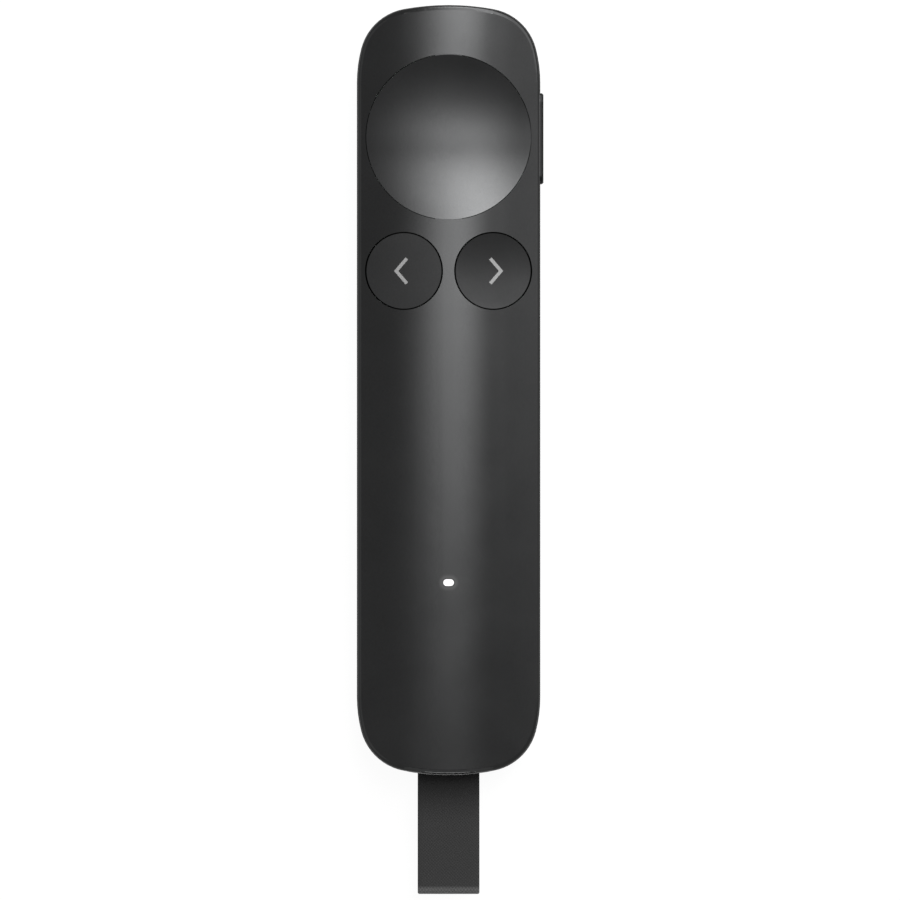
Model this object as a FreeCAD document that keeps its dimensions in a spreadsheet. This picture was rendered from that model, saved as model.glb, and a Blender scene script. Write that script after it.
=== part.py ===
# Wireless presentation clicker, built as a parametric document.
# It lies on its back: +Z is up through the key face, +Y points to the head, +X to the side key.
# The origin is the middle of the flat back. Lengths are in millimetres.
import FreeCAD
import Part
import Sketcher
import math
import os
import re

SIZES = {
    # Housing outline, seen from above
    "body_length": 131.0,
    "body_width": 31.2,
    "body_depth": 12.0,
    "end_radius": 42.5,
    "end_run": 6.4,
    "flank_radius": 23.0,
    "flank_run": 13.2,
    # Housing section
    "crown_radius": 60.0,
    "top_edge_radius": 0.8,
    "back_edge_radius": 3.0,
    "wall": 1.15,
    "floor_wall": 1.2,
    "seam_height": 4.0,
    "seam_step": 0.15,
    "rim_chamfer": 0.1,
    "seam_chamfer": 0.25,
    "lip_rise": 0.8,
    "lip_wall": 0.7,
    # Clearances that every fit shares
    "fit_gap": 0.1,
    "key_gap": 0.12,
    "seat_gap": 0.05,
    "cut_over": 1.0,
    "same_place": 0.005,
    # Dished pointer key
    "dish_side_margin": 1.33,
    "dish_head_margin": 8.43,
    "dish_depth": 0.75,
    "dish_plate": 2.0,
    # Round back and next keys
    "button_side_margin": 1.235,
    "button_web": 1.87,
    "dish_web": 1.99,
    "button_plate": 2.6,
    "next_scoop": 0.3,
    "scoop_rise": 3.0,
    # Ears and stems under the keys
    "ear_width": 4.6,
    "ear_reach": 0.8,
    "ear_root": 1.2,
    "ear_thickness": 0.7,
    "ear_drop": 0.3,
    "stem_radius": 1.5,
    # Side key
    "side_behind_dish": 0.25,
    "side_length": 15.5,
    "side_height": 2.4,
    "side_proud": 0.68,
    "side_edge": 0.25,
    "side_flange": 0.65,
    "side_flange_reach": 1.0,
    "side_stem_radius": 0.65,
    # Status light
    "light_from_tail": 32.74,
    "light_length": 1.75,
    "light_width": 1.1,
    "light_flange": 0.6,
    "light_flange_reach": 0.9,
    "led_length": 1.6,
    "led_width": 0.8,
    "led_rise": 0.6,
    # Circuit board
    "board_drop": 6.0,
    "board_thickness": 0.8,
    "board_side_gap": 0.9,
    "board_from_head": 7.5,
    "board_corner": 4.0,
    # Tact switches
    "switch_size": 4.5,
    "switch_rise": 1.2,
    "switch_bore": 1.15,
    "switch_bore_depth": 1.0,
    "plunger_radius": 1.0,
    "plunger_rise": 0.45,
    "plunger_sunk": 0.6,
    "side_switch_depth": 2.0,
    "side_switch_inset": 0.6,
    "side_switch_rise": 1.6,
    "side_plunger_radius": 0.6,
    "side_plunger_rise": 0.5,
    # Inner frame and its screws
    "frame_side_gap": 0.4,
    "frame_from_head": 7.1,
    "frame_from_dock": 0.7,
    "frame_corner": 4.0,
    "frame_floor": 0.6,
    "frame_rim": 1.6,
    "screw_inset": 1.9,
    "screw_behind_keys": 7.56,
    "screw_from_tail": 6.6,
    "screw_radius": 0.7,
    "screw_length": 6.0,
    "screw_head_radius": 1.3,
    "screw_head_rise": 0.9,
    "screw_recess": 1.2,
    "boss_radius": 1.9,
    "boss_root": 0.3,
    # Battery
    "battery_length": 52.0,
    "battery_side": 4.3,
    "battery_roof": 0.2,
    "battery_from_port": 2.8,
    "battery_round": 0.8,
    "battery_gap": 0.3,
    "pad_thickness": 0.2,
    "pad_margin": 2.0,
    "lead_radius": 0.45,
    "lead_spread": 2.0,
    "lead_run": 3.4,
    "connector_width": 5.2,
    "connector_length": 3.2,
    "connector_drop": 1.9,
    # Chips on the board
    "shield_width": 15.0,
    "shield_length": 16.0,
    "shield_rise": 1.7,
    "shield_wall": 0.3,
    "shield_from_light": 8.3,
    "processor_size": 6.4,
    "chip_size": 3.2,
    "chip_rise": 0.9,
    "charger_from_light": 5.76,
    "sensor_from_dish": 11.95,
    "antenna_length": 5.4,
    "antenna_width": 2.0,
    "antenna_rise": 1.0,
    "antenna_inset": 2.6,
    # Charging port
    "port_width": 8.94,
    "port_height": 3.16,
    "port_wall": 0.3,
    "port_length": 7.3,
    "port_back": 1.2,
    "port_tongue_width": 6.6,
    "port_tongue_height": 0.7,
    "port_tongue_length": 4.4,
    # Receiver
    "cap_width": 14.4,
    "cap_cover": 2.9,
    "cap_length": 7.0,
    "cap_corner": 1.6,
    "cap_recess": 0.02,
    "cap_edge": 0.12,
    "plug_width": 12.0,
    "plug_brim": 0.85,
    "plug_length": 12.0,
    "plug_wall": 0.3,
    "plug_window": 2.4,
    "plug_window_spread": 5.2,
    "plug_window_from_cap": 7.0,
    "contact_width": 1.0,
    "contact_length": 7.6,
    "contact_thickness": 0.15,
    "contact_pitch": 2.3,
    # Dock that holds the receiver in the tail
    "dock_front": 3.7,
    "dock_wall": 0.8,
    "dock_end_gap": 0.3,
    "saddle_thickness": 1.2,
    "saddle_first": 4.5,
    "saddle_second": 15.5,
    # Webbing tab and its pin
    "strap_width": 10.4,
    "strap_reach": 20.25,
    "strap_thickness": 0.8,
    "strap_eye": 0.4,
    "pin_radius": 0.35,
    "pin_from_end": 1.6,
    "pin_grip": 1.0,
    "strap_gap": 0.2,
}

CONTACT_COUNT = 4

# Sizes and places that follow from those above, in words of the sheet
FOLLOWING = {
    "corner_radius": "body_width / 2 - end_run",
    "inner_side": "body_width / 2 - seam_step - wall - fit_gap - lip_wall",
    "dish_radius": "body_width / 2 - seam_step - dish_side_margin",
    "dish_y": "body_length / 2 - dish_head_margin - dish_radius",
    "dish_under": "body_depth - dish_depth - dish_plate",
    "button_radius": "(body_width / 2 - seam_step - button_side_margin - button_web / 2) / 2",
    "button_spread": "2 * button_radius + button_web",
    "button_y": "dish_y - dish_radius - dish_web - button_radius",
    "button_under": "body_depth - button_plate",
    "light_y": "light_from_tail - body_length / 2",
    "board_height": "body_depth - board_drop",
    "board_width": "2 * (inner_side - board_side_gap)",
    "board_head": "body_length / 2 - board_from_head",
    "board_tail": "dock_rear - dock_wall - fit_gap",
    "plunger_top": "board_height + switch_rise + plunger_rise",
    "side_y": "dish_y - side_behind_dish",
    "side_z": "board_height + side_switch_rise / 2",
    "side_inner": "body_width / 2 - seam_step - wall - fit_gap - side_flange",
    "frame_width": "2 * (inner_side - frame_side_gap)",
    "frame_head": "body_length / 2 - frame_from_head",
    "frame_tail": "dock_rear - dock_wall - frame_from_dock",
    "screw_across": "frame_width - 2 * screw_inset",
    "screw_head_side": "button_y - button_radius - screw_behind_keys",
    "screw_tail_side": "frame_tail - screw_from_tail",
    "battery_low": "floor_wall + frame_floor + pad_thickness",
    "battery_width": "frame_width - 2 * battery_side",
    "battery_depth": "board_height - board_thickness - battery_roof - battery_low",
    "battery_tail": "dock_rear - port_length - battery_from_port",
    "battery_head": "battery_length - battery_tail",
    "lead_z": "board_height - board_thickness - connector_drop / 2",
    "receiver_height": "body_depth / 2",
    "cap_height": "body_depth - 2 * cap_cover",
    "cap_end": "body_length / 2 - cap_recess",
    "plug_height": "cap_height - 2 * plug_brim",
    "tongue_height": "plug_height / 2 - plug_wall",
    "dock_rear": "cap_end - cap_length - plug_length - dock_end_gap",
    "pin_y": "cap_end - pin_from_end",
}

document = FreeCAD.newDocument("presentation_clicker")
sheet = document.addObject("Spreadsheet::Sheet", "dims")
spare_sheet = document.addObject("Spreadsheet::Sheet", "spare")
subparts = []


def fill_sheet():
    for row, (alias, value) in enumerate(SIZES.items(), start=1):
        sheet.set(f"A{row}", alias)
        sheet.set(f"B{row}", str(value))
        sheet.setAlias(f"B{row}", alias)
    document.recompute()


def on_sheet(text):
    """Write each size in the text as a reference to its cell, or as what it follows from."""
    def looked_up(word):
        if word[0] in FOLLOWING:
            return "(" + on_sheet(FOLLOWING[word[0]]) + ")"
        return "dims." + word[0] if word[0] in SIZES else word[0]
    return re.sub(r"[a-z_]\w*", looked_up, text)


def worth(text):
    """Work out a text of sizes in a spare cell, so that a sketch starts in the right place."""
    spare_sheet.set("A1", "=" + on_sheet(text))
    spare_sheet.recompute()
    return float(spare_sheet.get("A1"))


def bind(thing, **sizes):
    """Bind properties of an object to sizes. Two underlines in a name stand for a dot."""
    for path, text in sizes.items():
        thing.setExpression(path.replace("__", "."), on_sheet(text))


def finished(thing, label):
    thing.Label = label
    subparts.append(thing)
    return thing


# Sketches and features of the bodies

def new_body(label):
    return finished(document.addObject("PartDesign::Body", label), label)


def sketch_on(body, name, role, offset="0"):
    """Put a sketch on one of the body's own origin planes, moved along its normal."""
    sketch = body.newObject("Sketcher::SketchObject", f"{body.Name}_{name}")
    plane = [item for item in body.Origin.OriginFeatures if item.Role == role]
    sketch.AttachmentSupport = [(plane[0], "")]
    sketch.MapMode = "FlatFace"
    if offset != "0":
        bind(sketch, AttachmentOffset__Base__z=offset)
    return sketch


def dimension(sketch, kind, ends, text):
    """Add a constraint whose value follows the sizes."""
    number = sketch.addConstraint(Sketcher.Constraint(kind, *ends, worth(text)))
    sketch.setExpression(f"Constraints[{number}]", on_sheet(text))


def place(sketch, edge, point, x, y):
    dimension(sketch, "DistanceX", (-1, 1, edge, point), x)
    dimension(sketch, "DistanceY", (-1, 1, edge, point), y)


def circle(sketch, x, y, radius):
    centre = FreeCAD.Vector(worth(x), worth(y), 0)
    edge = sketch.addGeometry(Part.Circle(centre, FreeCAD.Vector(0, 0, 1), worth(radius)), False)
    dimension(sketch, "Radius", (edge,), radius)
    place(sketch, edge, 3, x, y)


def polygon(sketch, corners):
    """Draw straight edges through corners given as pairs of texts."""
    points = [FreeCAD.Vector(worth(x), worth(y), 0) for x, y in corners]
    count = len(points)
    first = sketch.GeometryCount
    for index in range(count):
        sketch.addGeometry(Part.LineSegment(points[index], points[(index + 1) % count]), False)
    for index in range(count):
        after = first + (index + 1) % count
        sketch.addConstraint(Sketcher.Constraint("Coincident", first + index, 2, after, 1))
        place(sketch, first + index, 1, *corners[index])


def reach(middle, width):
    """Give both ends of a width about its middle."""
    return f"{middle} - ({width}) / 2", f"{middle} + ({width}) / 2"


def rectangle(sketch, low_x, high_x, low_y, high_y):
    polygon(sketch, [(low_x, low_y), (high_x, low_y), (high_x, high_y), (low_x, high_y)])


def arc(sketch, centre_x, centre_y, radius, start, end):
    centre = FreeCAD.Vector(centre_x, centre_y, 0)
    round_line = Part.Circle(centre, FreeCAD.Vector(0, 0, 1), radius)
    return sketch.addGeometry(Part.ArcOfCircle(round_line, start, end), False)


def chain(sketch, edges):
    """Join edges end to end, each tangent to the next."""
    for index, edge in enumerate(edges):
        after = edges[(index + 1) % len(edges)]
        sketch.addConstraint(Sketcher.Constraint("Tangent", edge, 2, after, 1))


def line(sketch, start_x, start_y, end_x, end_y):
    start = FreeCAD.Vector(start_x, start_y, 0)
    return sketch.addGeometry(Part.LineSegment(start, FreeCAD.Vector(end_x, end_y, 0)), False)


def rounded_rectangle(sketch, low_x, high_x, low_y, high_y, radius):
    left, right = worth(low_x), worth(high_x)
    low, high, turn = worth(low_y), worth(high_y), worth(radius)
    quarter = math.pi / 2
    edges = [line(sketch, left + turn, low, right - turn, low)]
    edges.append(arc(sketch, right - turn, low + turn, turn, -quarter, 0))
    edges.append(line(sketch, right, low + turn, right, high - turn))
    edges.append(arc(sketch, right - turn, high - turn, turn, 0, quarter))
    edges.append(line(sketch, right - turn, high, left + turn, high))
    edges.append(arc(sketch, left + turn, high - turn, turn, quarter, 2 * quarter))
    edges.append(line(sketch, left, high - turn, left, low + turn))
    edges.append(arc(sketch, left + turn, low + turn, turn, 2 * quarter, 3 * quarter))
    chain(sketch, edges)
    sketch.addConstraint(Sketcher.Constraint("Horizontal", edges[0]))
    for corner in edges[3::2]:
        sketch.addConstraint(Sketcher.Constraint("Equal", edges[1], corner))
    dimension(sketch, "Radius", (edges[1],), radius)
    dimension(sketch, "DistanceY", (-1, 1, edges[0], 1), low_y)
    dimension(sketch, "DistanceX", (-1, 1, edges[2], 1), high_x)
    dimension(sketch, "DistanceY", (-1, 1, edges[4], 1), high_y)
    dimension(sketch, "DistanceX", (-1, 1, edges[6], 1), low_x)


def round_slot(sketch, centre_x, centre_y, length, width):
    """Draw a slot with full round ends, long along the sketch's first axis."""
    x, y, radius = worth(centre_x), worth(centre_y), worth(width) / 2
    run = worth(length) / 2 - radius
    half = math.pi / 2
    edges = [line(sketch, x - run, y - radius, x + run, y - radius)]
    edges.append(arc(sketch, x + run, y, radius, -half, half))
    edges.append(line(sketch, x + run, y + radius, x - run, y + radius))
    edges.append(arc(sketch, x - run, y, radius, half, 3 * half))
    chain(sketch, edges)
    sketch.addConstraint(Sketcher.Constraint("Horizontal", edges[0]))
    dimension(sketch, "Radius", (edges[1],), f"({width}) / 2")
    place(sketch, edges[1], 3, f"{centre_x} + ({length}) / 2 - ({width}) / 2", centre_y)
    dimension(sketch, "DistanceX", (-1, 1, edges[3], 3), f"{centre_x} - ({length}) / 2 + ({width}) / 2")


def outline(sketch, inset):
    """Draw the housing's outline: straight flanks, eased corners and gently bowed ends."""
    half_width, half_length = worth("body_width / 2"), worth("body_length / 2")
    end, corner, flank = worth("end_radius"), worth("corner_radius"), worth("flank_radius")
    end_y = half_length - end
    flank_x, flank_y = half_width - flank, half_length - worth("flank_run")
    span = math.hypot(flank_x, flank_y - end_y)
    along = ((end - corner) ** 2 - (flank - corner) ** 2 + span ** 2) / (2 * span)
    across = math.sqrt((end - corner) ** 2 - along ** 2)
    step_x, step_y = flank_x / span, (flank_y - end_y) / span
    corner_x = along * step_x + across * step_y
    corner_y = end_y + along * step_y - across * step_x
    to_end = math.atan2(corner_y - end_y, corner_x)
    to_flank = math.atan2(corner_y - flank_y, corner_x - flank_x)
    less = worth(inset)
    edges = []
    for side in (1, -1):
        turn = 0 if side > 0 else math.pi
        edges.append(line(sketch, side * (half_width - less), -side * flank_y,
                          side * (half_width - less), side * flank_y))
        edges.append(arc(sketch, side * flank_x, side * flank_y, flank - less, turn, turn + to_flank))
        edges.append(arc(sketch, side * corner_x, side * corner_y, corner - less,
                         turn + to_flank, turn + to_end))
        edges.append(arc(sketch, 0, side * end_y, end - less, turn + to_end, turn + math.pi - to_end))
        edges.append(arc(sketch, -side * corner_x, side * corner_y, corner - less,
                         turn + math.pi - to_end, turn + math.pi - to_flank))
        edges.append(arc(sketch, -side * flank_x, side * flank_y, flank - less,
                         turn + math.pi - to_flank, turn + math.pi))
    chain(sketch, edges)
    for side, start in ((1, 0), (-1, 6)):
        sign = "" if side > 0 else "-"
        sketch.addConstraint(Sketcher.Constraint("Vertical", edges[start]))
        dimension(sketch, "DistanceX", (-1, 1, edges[start], 1), f"{sign}(body_width / 2 - ({inset}))")
        sketch.addConstraint(Sketcher.Constraint("PointOnObject", edges[start + 3], 3, -2))
        dimension(sketch, "DistanceY", (-1, 1, edges[start + 3], 3),
                  f"{sign}(body_length / 2 - end_radius)")
        for flank_edge in (edges[start + 1], edges[start + 5]):
            dimension(sketch, "DistanceY", (-1, 1, flank_edge, 3), f"{sign}(body_length / 2 - flank_run)")
    kinds = {"flank_radius": (1, 5, 7, 11), "corner_radius": (2, 4, 8, 10), "end_radius": (3, 9)}
    for radius, places in kinds.items():
        dimension(sketch, "Radius", (edges[places[0]],), f"{radius} - ({inset})")
        for other in places[1:]:
            sketch.addConstraint(Sketcher.Constraint("Equal", edges[places[0]], edges[other]))


def feature(body, kind, name, sketch, length, options):
    made = body.newObject(f"PartDesign::{kind}", f"{body.Name}_{name}")
    made.Profile = sketch
    sketch.Visibility = False
    if length is None:
        made.Type = "ThroughAll"
    else:
        bind(made, Length=length)
    for option, value in options.items():
        setattr(made, option, value)
    return made


def pad(body, name, sketch, length, **options):
    return feature(body, "Pad", name, sketch, length, options)


def pocket(body, name, sketch, length=None, **options):
    """Cut a sketch into the body and make sure that it takes material away."""
    document.recompute()
    before = body.Shape.Volume
    made = feature(body, "Pocket", name, sketch, length, options)
    document.recompute()
    if body.Shape.Volume >= before:
        raise ValueError(f"{made.Name} cuts nothing")
    return made


def dress(body, kind, name, size, wanted, **options):
    """Fillet or chamfer the edges of the body that a test picks."""
    document.recompute()
    base = body.Tip
    names = [f"Edge{number}" for number, edge in enumerate(base.Shape.Edges, start=1) if wanted(edge)]
    made = body.newObject(f"PartDesign::{kind}", f"{body.Name}_{name}")
    made.Base = (base, names)
    for option, text in size.items():
        made.setExpression(option, on_sheet(text))
    for option, value in options.items():
        setattr(made, option, value)
    document.recompute()
    return made


def near(value, text):
    return abs(value - worth(text)) < SIZES["same_place"]


def lies_at(edge, text):
    """Tell whether a whole edge lies at one height."""
    return near(edge.BoundBox.ZMin, text) and near(edge.BoundBox.ZMax, text)


# Plain solids for the small pieces

def box(label, x, y, z):
    """Make a box. Each axis is a pair of texts: where it starts, and how far it runs."""
    made = document.addObject("Part::Box", label)
    bind(made, Length=x[1], Width=y[1], Height=z[1])
    bind(made, Placement__Base__x=x[0], Placement__Base__y=y[0], Placement__Base__z=z[0])
    return made


def centred(middle, width):
    """Give the start and run of a box whose middle is known."""
    return f"{middle} - ({width}) / 2", width


def cylinder(label, x, y, z, radius, length, axis=None):
    """Make a cylinder upright, or along another axis given as a turn."""
    made = document.addObject("Part::Cylinder", label)
    if axis is not None:
        made.Placement = FreeCAD.Placement(FreeCAD.Vector(0, 0, 0), axis)
    bind(made, Radius=radius, Height=length)
    bind(made, Placement__Base__x=x, Placement__Base__y=y, Placement__Base__z=z)
    return made


ALONG_X = FreeCAD.Rotation(FreeCAD.Vector(0, 1, 0), 90)
ALONG_Y = FreeCAD.Rotation(FreeCAD.Vector(1, 0, 0), -90)


def cut(label, base, tool):
    made = document.addObject("Part::Cut", label)
    made.Base = base
    made.Tool = tool
    return made


def joined(label, pieces, kind="Part::MultiFuse"):
    made = document.addObject(kind, label)
    if kind == "Part::Compound":
        made.Links = pieces
    else:
        made.Shapes = pieces
    return made


# Covers

def build_bottom_cover():
    body = new_body("bottom_cover")
    plan = sketch_on(body, "plan", "XY_Plane")
    outline(plan, "0")
    pad(body, "blank", plan, "seam_height")
    dress(body, "Fillet", "back_edge", {"Radius": "back_edge_radius"}, lambda edge: lies_at(edge, "0"))
    dress(body, "Chamfer", "rim_edge", {"Size": "rim_chamfer"}, lambda edge: lies_at(edge, "seam_height"))
    lip = sketch_on(body, "lip_plan", "XY_Plane", "seam_height")
    outline(lip, "seam_step + wall + fit_gap")
    pad(body, "lip", lip, "lip_rise")
    hollow = sketch_on(body, "hollow_plan", "XY_Plane", "floor_wall")
    outline(hollow, "seam_step + wall + fit_gap + lip_wall")
    pocket(body, "hollow", hollow, Reversed=True)
    saddles = sketch_on(body, "saddle_plan", "XY_Plane", "floor_wall")
    for from_tail in ("saddle_first", "saddle_second"):
        rectangle(saddles, "-cap_width / 2", "cap_width / 2",
                  *reach(f"{from_tail} - body_length / 2", "saddle_thickness"))
    pad(body, "saddles", saddles, "receiver_height - cap_height / 2 - key_gap - dock_wall - floor_wall")
    cut_mouth(body)


def cut_mouth(body):
    """Open the tail wall for the receiver's cap."""
    mouth = sketch_on(body, "mouth_shape", "XZ_Plane", "body_length / 2 + cut_over")
    rounded_rectangle(mouth, "-cap_width / 2 - key_gap", "cap_width / 2 + key_gap",
                      "receiver_height - cap_height / 2 - key_gap",
                      "receiver_height + cap_height / 2 + key_gap", "cap_corner + key_gap")
    pocket(body, "mouth", mouth, "cut_over + seam_step + wall + fit_gap + lip_wall + cut_over")


def build_top_cover():
    body = new_body("top_cover")
    plan = sketch_on(body, "plan", "XY_Plane", "seam_height")
    outline(plan, "seam_step")
    pad(body, "blank", plan, "body_depth - seam_height")
    cut_crown(body)
    hollow_cover(body)
    dress(body, "Fillet", "top_edge", {"Radius": "top_edge_radius"}, on_crown)
    rim = [face for face in body.Tip.Shape.Faces if near(face.BoundBox.ZMax, "seam_height")][0]
    dress(body, "Chamfer", "seam_edge", {"Size": "seam_chamfer"},
          lambda edge: any(edge.isSame(outer) for outer in rim.OuterWire.Edges))
    cut_key_holes(body)
    cut_mouth(body)
    add_bosses(body)


def on_crown(edge):
    """Tell whether an edge runs along the crowned top."""
    radius, middle = worth("crown_radius"), worth("body_depth - crown_radius")
    return all(abs(math.hypot(end.X, end.Z - middle) - radius) < SIZES["same_place"]
               for end in edge.Vertexes)


def cut_crown(body):
    """Take away what lies above an arc that runs across the whole width."""
    section = sketch_on(body, "crown_section", "XZ_Plane")
    radius, far, middle = worth("crown_radius"), worth("body_width"), worth("body_depth - crown_radius")
    side = math.asin(far / radius)
    top = worth("body_depth + cut_over")
    low = middle + radius * math.cos(side)
    edges = [arc(section, 0, middle, radius, math.pi / 2 - side, math.pi / 2 + side)]
    edges.append(line(section, -far, low, -far, top))
    edges.append(line(section, -far, top, far, top))
    edges.append(line(section, far, top, far, low))
    for index in range(4):
        after = edges[(index + 1) % 4]
        section.addConstraint(Sketcher.Constraint("Coincident", edges[index], 2, after, 1))
    dimension(section, "Radius", (edges[0],), "crown_radius")
    place(section, edges[0], 3, "0", "body_depth - crown_radius")
    for index in (1, 3):
        section.addConstraint(Sketcher.Constraint("Vertical", edges[index]))
    place(section, edges[2], 1, "-body_width", "body_depth + cut_over")
    place(section, edges[2], 2, "body_width", "body_depth + cut_over")
    pocket(body, "crown", section, Midplane=True)


def hollow_cover(body):
    """Shell the cover from its open underside."""
    document.recompute()
    base = body.Tip
    names = [f"Face{number}" for number, face in enumerate(base.Shape.Faces, start=1)
             if near(face.BoundBox.ZMax, "seam_height")]
    shell = body.newObject("PartDesign::Thickness", f"{body.Name}_shell")
    shell.Base = (base, names)
    bind(shell, Value="wall")
    shell.Reversed = True
    document.recompute()


def cut_key_holes(body):
    keys = sketch_on(body, "key_plan", "XY_Plane", "seam_height")
    circle(keys, "0", "dish_y", "dish_radius")
    for side in ("-", ""):
        circle(keys, f"{side}button_spread / 2", "button_y", "button_radius")
    round_slot(keys, "0", "light_y", "light_length + 2 * seat_gap", "light_width + 2 * seat_gap")
    pocket(body, "keys", keys, Reversed=True)
    window = sketch_on(body, "side_window", "YZ_Plane", "body_width / 2 + cut_over")
    round_slot(window, "side_y", "side_z", "side_length + 2 * key_gap", "side_height + 2 * key_gap")
    pocket(body, "side_window_cut", window, "cut_over + seam_step + wall + fit_gap")


def add_bosses(body):
    bosses = sketch_on(body, "boss_plan", "XY_Plane", "board_height")
    screw_circles(bosses, "boss_radius")
    far_side = crown_at("screw_across / 2 + boss_radius")
    pad(body, "bosses", bosses, f"{far_side} - wall + boss_root - board_height")
    bores = sketch_on(body, "boss_bores", "XY_Plane", "board_height")
    screw_circles(bores, "screw_radius + seat_gap")
    pocket(body, "bore", bores, "floor_wall + screw_recess + screw_length + fit_gap - board_height",
           Reversed=True)


# Inside the covers

def build_receiver_dock():
    body = new_body("receiver_dock")
    front = "body_length / 2 - dock_front"
    section = sketch_on(body, "section", "XZ_Plane", front)
    side = "cap_width / 2 + key_gap + dock_wall"
    rise = "cap_height / 2 + key_gap + dock_wall"
    rounded_rectangle(section, f"-({side})", side, f"receiver_height - ({rise})",
                      f"receiver_height + {rise}", "cap_corner + key_gap + dock_wall")
    pad(body, "blank", section, f"{front} - dock_rear + dock_wall", Reversed=True)
    room = sketch_on(body, "cap_room", "XZ_Plane", front)
    rounded_rectangle(room, "-cap_width / 2 - key_gap", "cap_width / 2 + key_gap",
                      "receiver_height - cap_height / 2 - key_gap",
                      "receiver_height + cap_height / 2 + key_gap", "cap_corner + key_gap")
    pocket(body, "cap_room_cut", room, f"{front} - cap_end + cap_length + fit_gap")
    room = sketch_on(body, "plug_room", "XZ_Plane", front)
    rectangle(room, "-plug_width / 2 - key_gap", "plug_width / 2 + key_gap",
              "receiver_height - plug_height / 2 - key_gap", "receiver_height + plug_height / 2 + key_gap")
    pocket(body, "plug_room_cut", room, f"{front} - dock_rear")
    mouth = sketch_on(body, "port_mouth", "XZ_Plane", front)
    round_slot(mouth, "0", "receiver_height", "port_width + 2 * seat_gap", "port_height + 2 * seat_gap")
    pocket(body, "port_mouth_cut", mouth)


def build_inner_frame():
    body = new_body("inner_frame")
    plan = sketch_on(body, "plan", "XY_Plane", "floor_wall")
    rounded_rectangle(plan, "-frame_width / 2", "frame_width / 2", "-frame_tail", "frame_head",
                      "frame_corner")
    pad(body, "blank", plan, "board_height - board_thickness - floor_wall")
    rooms = sketch_on(body, "rooms", "XY_Plane", "floor_wall + frame_floor")
    rectangle(rooms, "-battery_width / 2 - battery_gap", "battery_width / 2 + battery_gap",
              "-battery_tail - battery_gap", "battery_head + battery_gap")
    front = "battery_head + battery_gap + frame_rim"
    rectangle(rooms, "-frame_width / 2 + frame_rim", "frame_width / 2 - frame_rim",
              front, "frame_head - frame_rim")
    pocket(body, "rooms_cut", rooms, Reversed=True)
    reliefs = sketch_on(body, "reliefs", "XY_Plane", "floor_wall + frame_floor")
    rectangle(reliefs, "-port_width / 2 - battery_gap", "port_width / 2 + battery_gap",
              "-frame_tail - cut_over", "-dock_rear + port_length + battery_gap")
    pocket(body, "port_relief", reliefs, Reversed=True)
    notch = sketch_on(body, "lead_notch", "XY_Plane", "lead_z - lead_radius - fit_gap")
    rectangle(notch, "-lead_spread / 2 - lead_radius - fit_gap", "lead_spread / 2 + lead_radius + fit_gap",
              "battery_head", f"{front} + fit_gap")
    pocket(body, "lead_notch_cut", notch, Reversed=True)
    holes = sketch_on(body, "screw_holes", "XY_Plane", "floor_wall")
    screw_circles(holes, "screw_radius + fit_gap")
    pocket(body, "screw_holes_cut", holes, Reversed=True)
    heads = sketch_on(body, "screw_recesses", "XY_Plane", "floor_wall")
    screw_circles(heads, "screw_head_radius + fit_gap")
    pocket(body, "screw_recesses_cut", heads, "screw_recess", Reversed=True)


def screw_circles(sketch, radius):
    """Draw a circle at each of the frame's screws."""
    for side in ("-", ""):
        circle(sketch, f"{side}screw_across / 2", "screw_head_side", radius)
        circle(sketch, f"{side}screw_across / 2", "-screw_tail_side", radius)


def build_circuit_board():
    body = new_body("circuit_board")
    plan = sketch_on(body, "plan", "XY_Plane", "board_height - board_thickness")
    rounded_rectangle(plan, "-board_width / 2", "board_width / 2", "-board_tail", "board_head",
                      "board_corner")
    pad(body, "blank", plan, "board_thickness")
    holes = sketch_on(body, "holes", "XY_Plane", "board_height")
    screw_circles(holes, "screw_radius + fit_gap")
    rectangle(holes, "-port_width / 2 - seat_gap", "port_width / 2 + seat_gap",
              "-board_tail - cut_over", "-dock_rear + port_length + seat_gap")
    pocket(body, "holes_cut", holes)


def build_battery():
    body = new_body("battery")
    section = sketch_on(body, "section", "XZ_Plane", "battery_tail")
    rounded_rectangle(section, "-battery_width / 2", "battery_width / 2", "battery_low",
                      "battery_low + battery_depth", "battery_round")
    pad(body, "cell", section, "battery_length", Reversed=True)
    finished(box("battery_pad", centred("0", "battery_width - 2 * pad_margin"),
                 ("pad_margin - battery_tail", "battery_length - 2 * pad_margin"),
                 ("floor_wall + frame_floor", "pad_thickness")), "battery_pad")
    leads = [cylinder(f"battery_lead_{side}", f"{sign}lead_spread / 2", "battery_head", "lead_z",
                      "lead_radius", "lead_run", ALONG_Y) for side, sign in (("left", "-"), ("right", ""))]
    finished(joined("battery_leads", leads, "Part::Compound"), "battery_leads")
    finished(box("battery_connector", centred("0", "connector_width"),
                 ("battery_head + lead_run", "connector_length"),
                 ("board_height - board_thickness - connector_drop", "connector_drop")),
             "battery_connector")


def build_chips():
    shield_y = "light_y + shield_from_light"
    outside = box("shield_outside", centred("0", "shield_width"), (shield_y, "shield_length"),
                  ("board_height", "shield_rise"))
    inside = box("shield_inside", centred("0", "shield_width - 2 * shield_wall"),
                 (f"{shield_y} + shield_wall", "shield_length - 2 * shield_wall"),
                 ("board_height", "shield_rise - shield_wall"))
    finished(cut("radio_shield", outside, inside), "radio_shield")
    for label, y, length, width, rise in (
            ("processor_chip", f"{shield_y} + shield_length / 2", "processor_size", "processor_size",
             "chip_rise"),
            ("charger_chip", "light_y + charger_from_light", "chip_size", "chip_size", "chip_rise"),
            ("motion_sensor", "dish_y - sensor_from_dish", "chip_size", "chip_size", "chip_rise"),
            ("antenna", "board_head - antenna_inset", "antenna_length", "antenna_width", "antenna_rise"),
            ("status_led", "light_y", "led_length", "led_width", "led_rise")):
        finished(box(label, centred("0", length), centred(y, width), ("board_height", rise)), label)


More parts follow.
